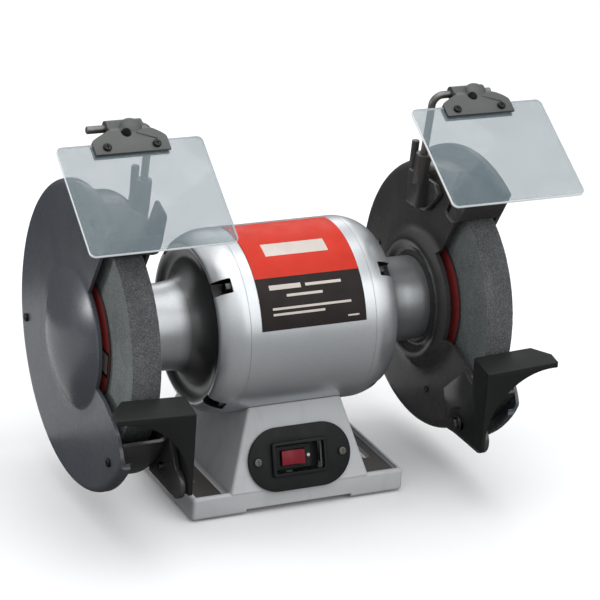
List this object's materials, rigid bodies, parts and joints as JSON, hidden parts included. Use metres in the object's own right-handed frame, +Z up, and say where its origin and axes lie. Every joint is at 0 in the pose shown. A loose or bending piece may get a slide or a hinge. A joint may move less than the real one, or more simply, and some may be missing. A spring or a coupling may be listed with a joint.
{
  "type": "bench grinder",
  "caption": "Double-ended bench grinder: motor on a pedestal base, a guarded abrasive wheel at each end with tool rest, spark deflector and clear eye shield, and a front rocker switch.",
  "frame": {"origin": "centre of the footprint, on the plane the rubber feet stand on", "axes": "+X along the arbor to the right-hand wheel as the operator sees it, +Y from the operator to the back, +Z up"},
  "size_m": [0.4256, 0.2588, 0.3354],
  "materials": {
    "silver_paint": "semi-gloss silver hammer paint",
    "base_paint": "light grey paint on cast iron",
    "guard_paint": "dark grey satin paint",
    "rest_casting": "black paint on a rough casting",
    "clamp_paint": "olive grey paint",
    "abrasive": "gritty vitrified abrasive",
    "blotter_paper": "red paper blotter",
    "clear_plastic": "clear polycarbonate",
    "black_plastic": "satin black moulding",
    "red_plastic": "gloss red moulding",
    "black_rubber": "matte black rubber",
    "zinc_steel": "zinc plated",
    "ground_steel": "ground",
    "laminated_steel": "stacked laminations",
    "copper_wire": "enamelled copper wire",
    "capacitor_case": "drawn can",
    "label_print": "printed label"
  },
  "bodies": {
    "frame": {"base_casting": "base_paint", "base_bottom_plate": "zinc_steel", "rubber_foot_front_left": "black_rubber", "rubber_foot_front_right": "black_rubber", "rubber_foot_back_left": "black_rubber", "rubber_foot_back_right": "black_rubber", "switch_plate": "black_plastic", "switch_housing": "black_plastic", "switch_screw_left": "zinc_steel", "switch_screw_right": "zinc_steel", "run_capacitor": "capacitor_case", "cord_grommet": "black_rubber", "motor_shell": "silver_paint", "end_bell_left": "silver_paint", "end_bell_right": "silver_paint", "stator_core": "laminated_steel", "stator_winding_left": "copper_wire", "stator_winding_right": "copper_wire", "through_bolt_1": "zinc_steel", "through_bolt_2": "zinc_steel", "through_bolt_3": "zinc_steel", "through_bolt_4": "zinc_steel", "bearing_outer_left": "ground_steel", "bearing_outer_right": "ground_steel", "guard_body_left": "guard_paint", "guard_body_right": "guard_paint", "guard_cover_left": "guard_paint", "guard_cover_right": "guard_paint", "shield_bracket_left": "guard_paint", "shield_bracket_right": "guard_paint", "nameplate": "label_print", "tool_rest_bolt_left": "zinc_steel", "tool_rest_bolt_right": "zinc_steel"},
    "rotor": {"shaft": "ground_steel", "rotor_core": "laminated_steel", "bearing_inner_left": "ground_steel", "bearing_inner_right": "ground_steel", "inner_flange_left": "zinc_steel", "inner_flange_right": "zinc_steel", "blotter_inner_left": "blotter_paper", "blotter_inner_right": "blotter_paper", "grinding_wheel_left": "abrasive", "grinding_wheel_right": "abrasive", "blotter_outer_left": "blotter_paper", "blotter_outer_right": "blotter_paper", "outer_flange_left": "zinc_steel", "outer_flange_right": "zinc_steel", "arbor_nut_left": "zinc_steel", "arbor_nut_right": "zinc_steel"},
    "rocker": {"rocker": "red_plastic"},
    "shield_rod_left": {"shield_rod_left": "zinc_steel"},
    "shield_left": {"eye_shield_left": "clear_plastic", "shield_clamp_left": "clamp_paint"},
    "tool_rest_left": {"tool_rest_left": "rest_casting"},
    "deflector_left": {"spark_deflector_left": "guard_paint"},
    "shield_rod_right": {"shield_rod_right": "zinc_steel"},
    "shield_right": {"eye_shield_right": "clear_plastic", "shield_clamp_right": "clamp_paint"},
    "tool_rest_right": {"tool_rest_right": "rest_casting"},
    "deflector_right": {"spark_deflector_right": "guard_paint"}
  },
  "joints": [
    {"name": "rotor_spin", "type": "hinge", "parent": "frame", "child": "rotor", "pos_m": [0, 0.00715, 0.146], "axis": [1, 0, 0], "continuous": true},
    {"name": "rocker_tilt", "type": "hinge", "parent": "frame", "child": "rocker", "pos_m": [-0.005, -0.05168, 0.0422], "axis": [0, 0.3105, 0.9506], "range_deg": [0, 16]},
    {"name": "rod_slide_left", "type": "slide", "parent": "frame", "child": "shield_rod_left", "axis": [0, -0.1305, 0.9914], "range_m": [-0.01, 0.02]},
    {"name": "shield_tilt_left", "type": "hinge", "parent": "shield_rod_left", "child": "shield_left", "pos_m": [-0.1522, -0.00465, 0.3238], "axis": [1, 0, 0], "range_deg": [-50, 10]},
    {"name": "rest_slide_left", "type": "slide", "parent": "frame", "child": "tool_rest_left", "axis": [0, 1, 0], "range_m": [-0.006, 0.006]},
    {"name": "deflector_slide_left", "type": "slide", "parent": "frame", "child": "deflector_left", "axis": [0, 0.5388, -0.8425], "range_m": [-0.002, 0.002]},
    {"name": "rod_slide_right", "type": "slide", "parent": "frame", "child": "shield_rod_right", "axis": [0, -0.1305, 0.9914], "range_m": [-0.01, 0.02]},
    {"name": "shield_tilt_right", "type": "hinge", "parent": "shield_rod_right", "child": "shield_right", "pos_m": [0.1522, -0.00537, 0.32925], "axis": [1, 0, 0], "range_deg": [-50, 10]},
    {"name": "rest_slide_right", "type": "slide", "parent": "frame", "child": "tool_rest_right", "axis": [0, 1, 0], "range_m": [-0.006, 0.006]},
    {"name": "deflector_slide_right", "type": "slide", "parent": "frame", "child": "deflector_right", "axis": [0, 0.5388, -0.8425], "range_m": [-0.002, 0.002]}
  ]
}
